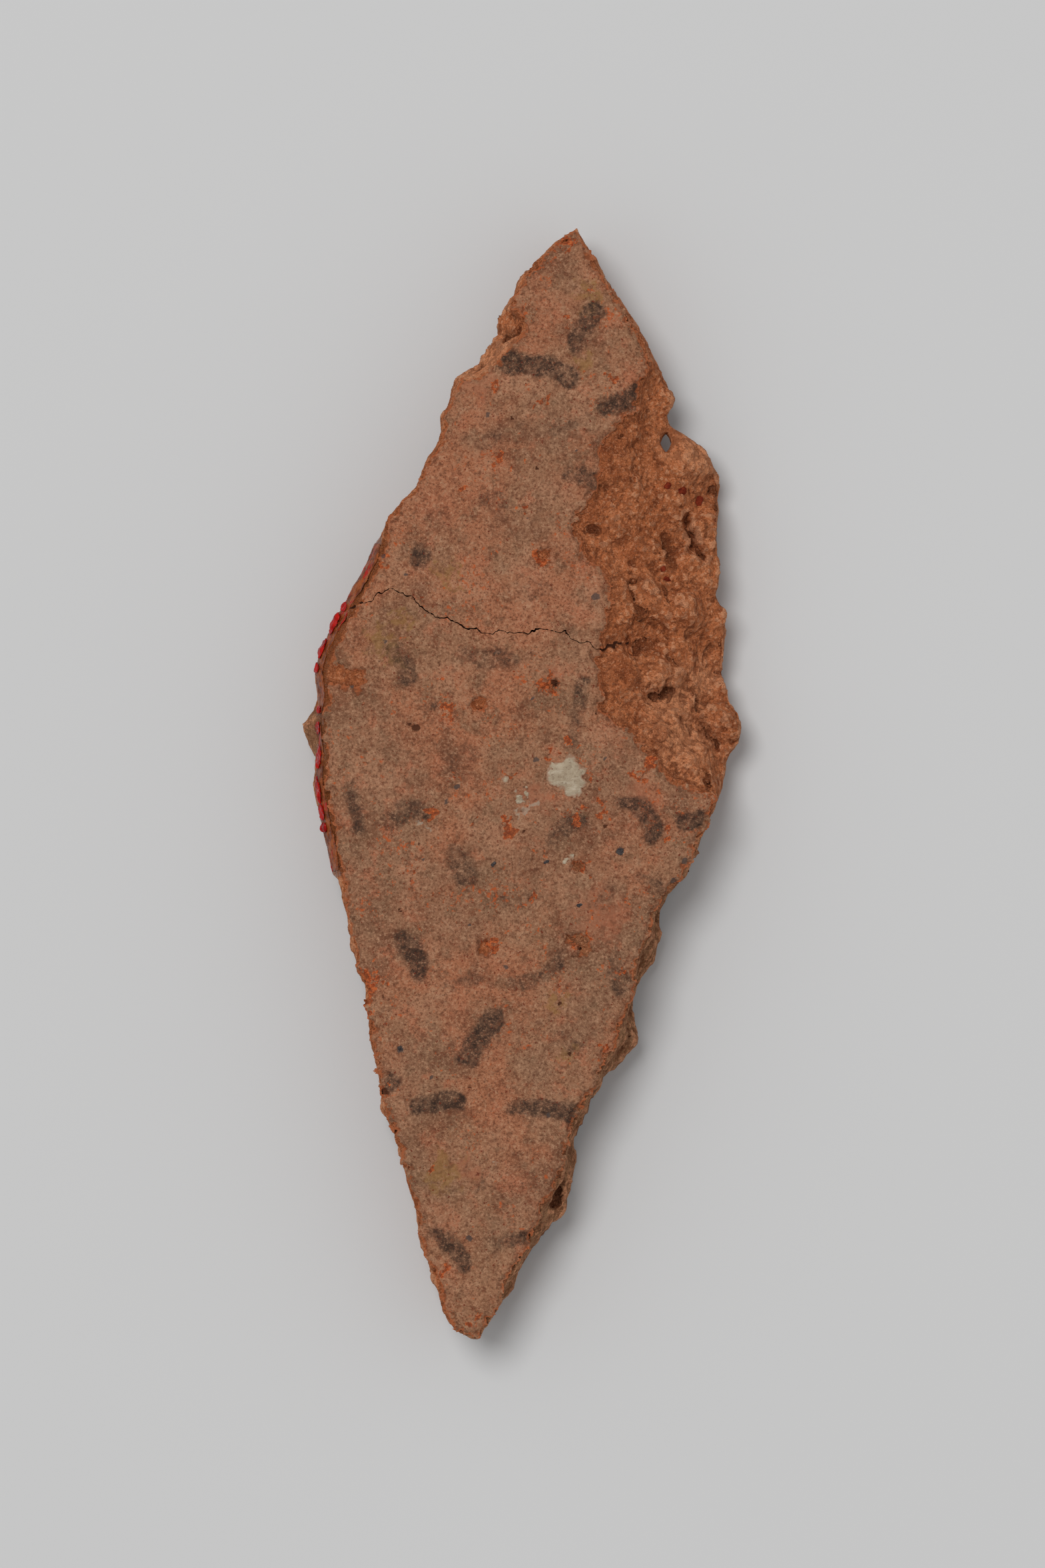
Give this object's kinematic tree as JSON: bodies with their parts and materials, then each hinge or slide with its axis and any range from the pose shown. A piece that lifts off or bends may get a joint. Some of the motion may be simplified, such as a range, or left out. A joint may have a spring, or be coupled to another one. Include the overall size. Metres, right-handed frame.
{
  "type": "ostracon",
  "caption": "Long pointed sherd of a thrown clay vessel, slipped on its outer face and broken all round, as reused for ink notes; lies on its inner face.",
  "frame": {"origin": "under the middle of the sherd's box, level with the faces that it rests on", "axes": "+Y along the sherd's long way, which is the vessel's axis, towards its narrow upper point; +Z out of the slipped outer face; +X to the right of a reader who looks down on that face"},
  "size_m": [0.0334, 0.084, 0.0097],
  "materials": {
    "fired_clay": "rough broken red-brown fired clay",
    "slip": "matt brown-rose slip, wiped smooth, with worn dark dabs",
    "lime": "chalky pale lime",
    "clear_film": "thin glossy clear film on the break",
    "red_gloss": "glossy red drips",
    "grog": "dark red crushed-pot grain",
    "grit": "dark blue-grey mineral grit"
  },
  "bodies": {
    "root": {"sherd_body": "fired_clay", "slip_above_crack": "slip", "slip_below_crack": "slip", "lime_patch": "lime", "lime_speck_1": "lime", "lime_speck_2": "lime", "lime_speck_3": "lime", "clear_film_upper": "clear_film", "clear_film_lower": "clear_film", "red_drip_1": "red_gloss", "red_drip_2": "red_gloss", "red_drip_3": "red_gloss", "red_drip_4": "red_gloss", "red_drip_5": "red_gloss", "red_drip_6": "red_gloss", "red_drip_7": "red_gloss", "red_drip_8": "red_gloss", "red_drip_9": "red_gloss", "red_drip_10": "red_gloss", "grog_grain_1": "grog", "grog_grain_2": "grog", "grog_grain_3": "grog", "grog_grain_4": "grog", "grog_grain_5": "grog", "grog_grain_6": "grog", "face_grit_1": "grit", "face_grit_2": "grit", "face_grit_3": "grit", "face_grit_4": "grit", "face_grit_5": "grit"}
  },
  "joints": []
}
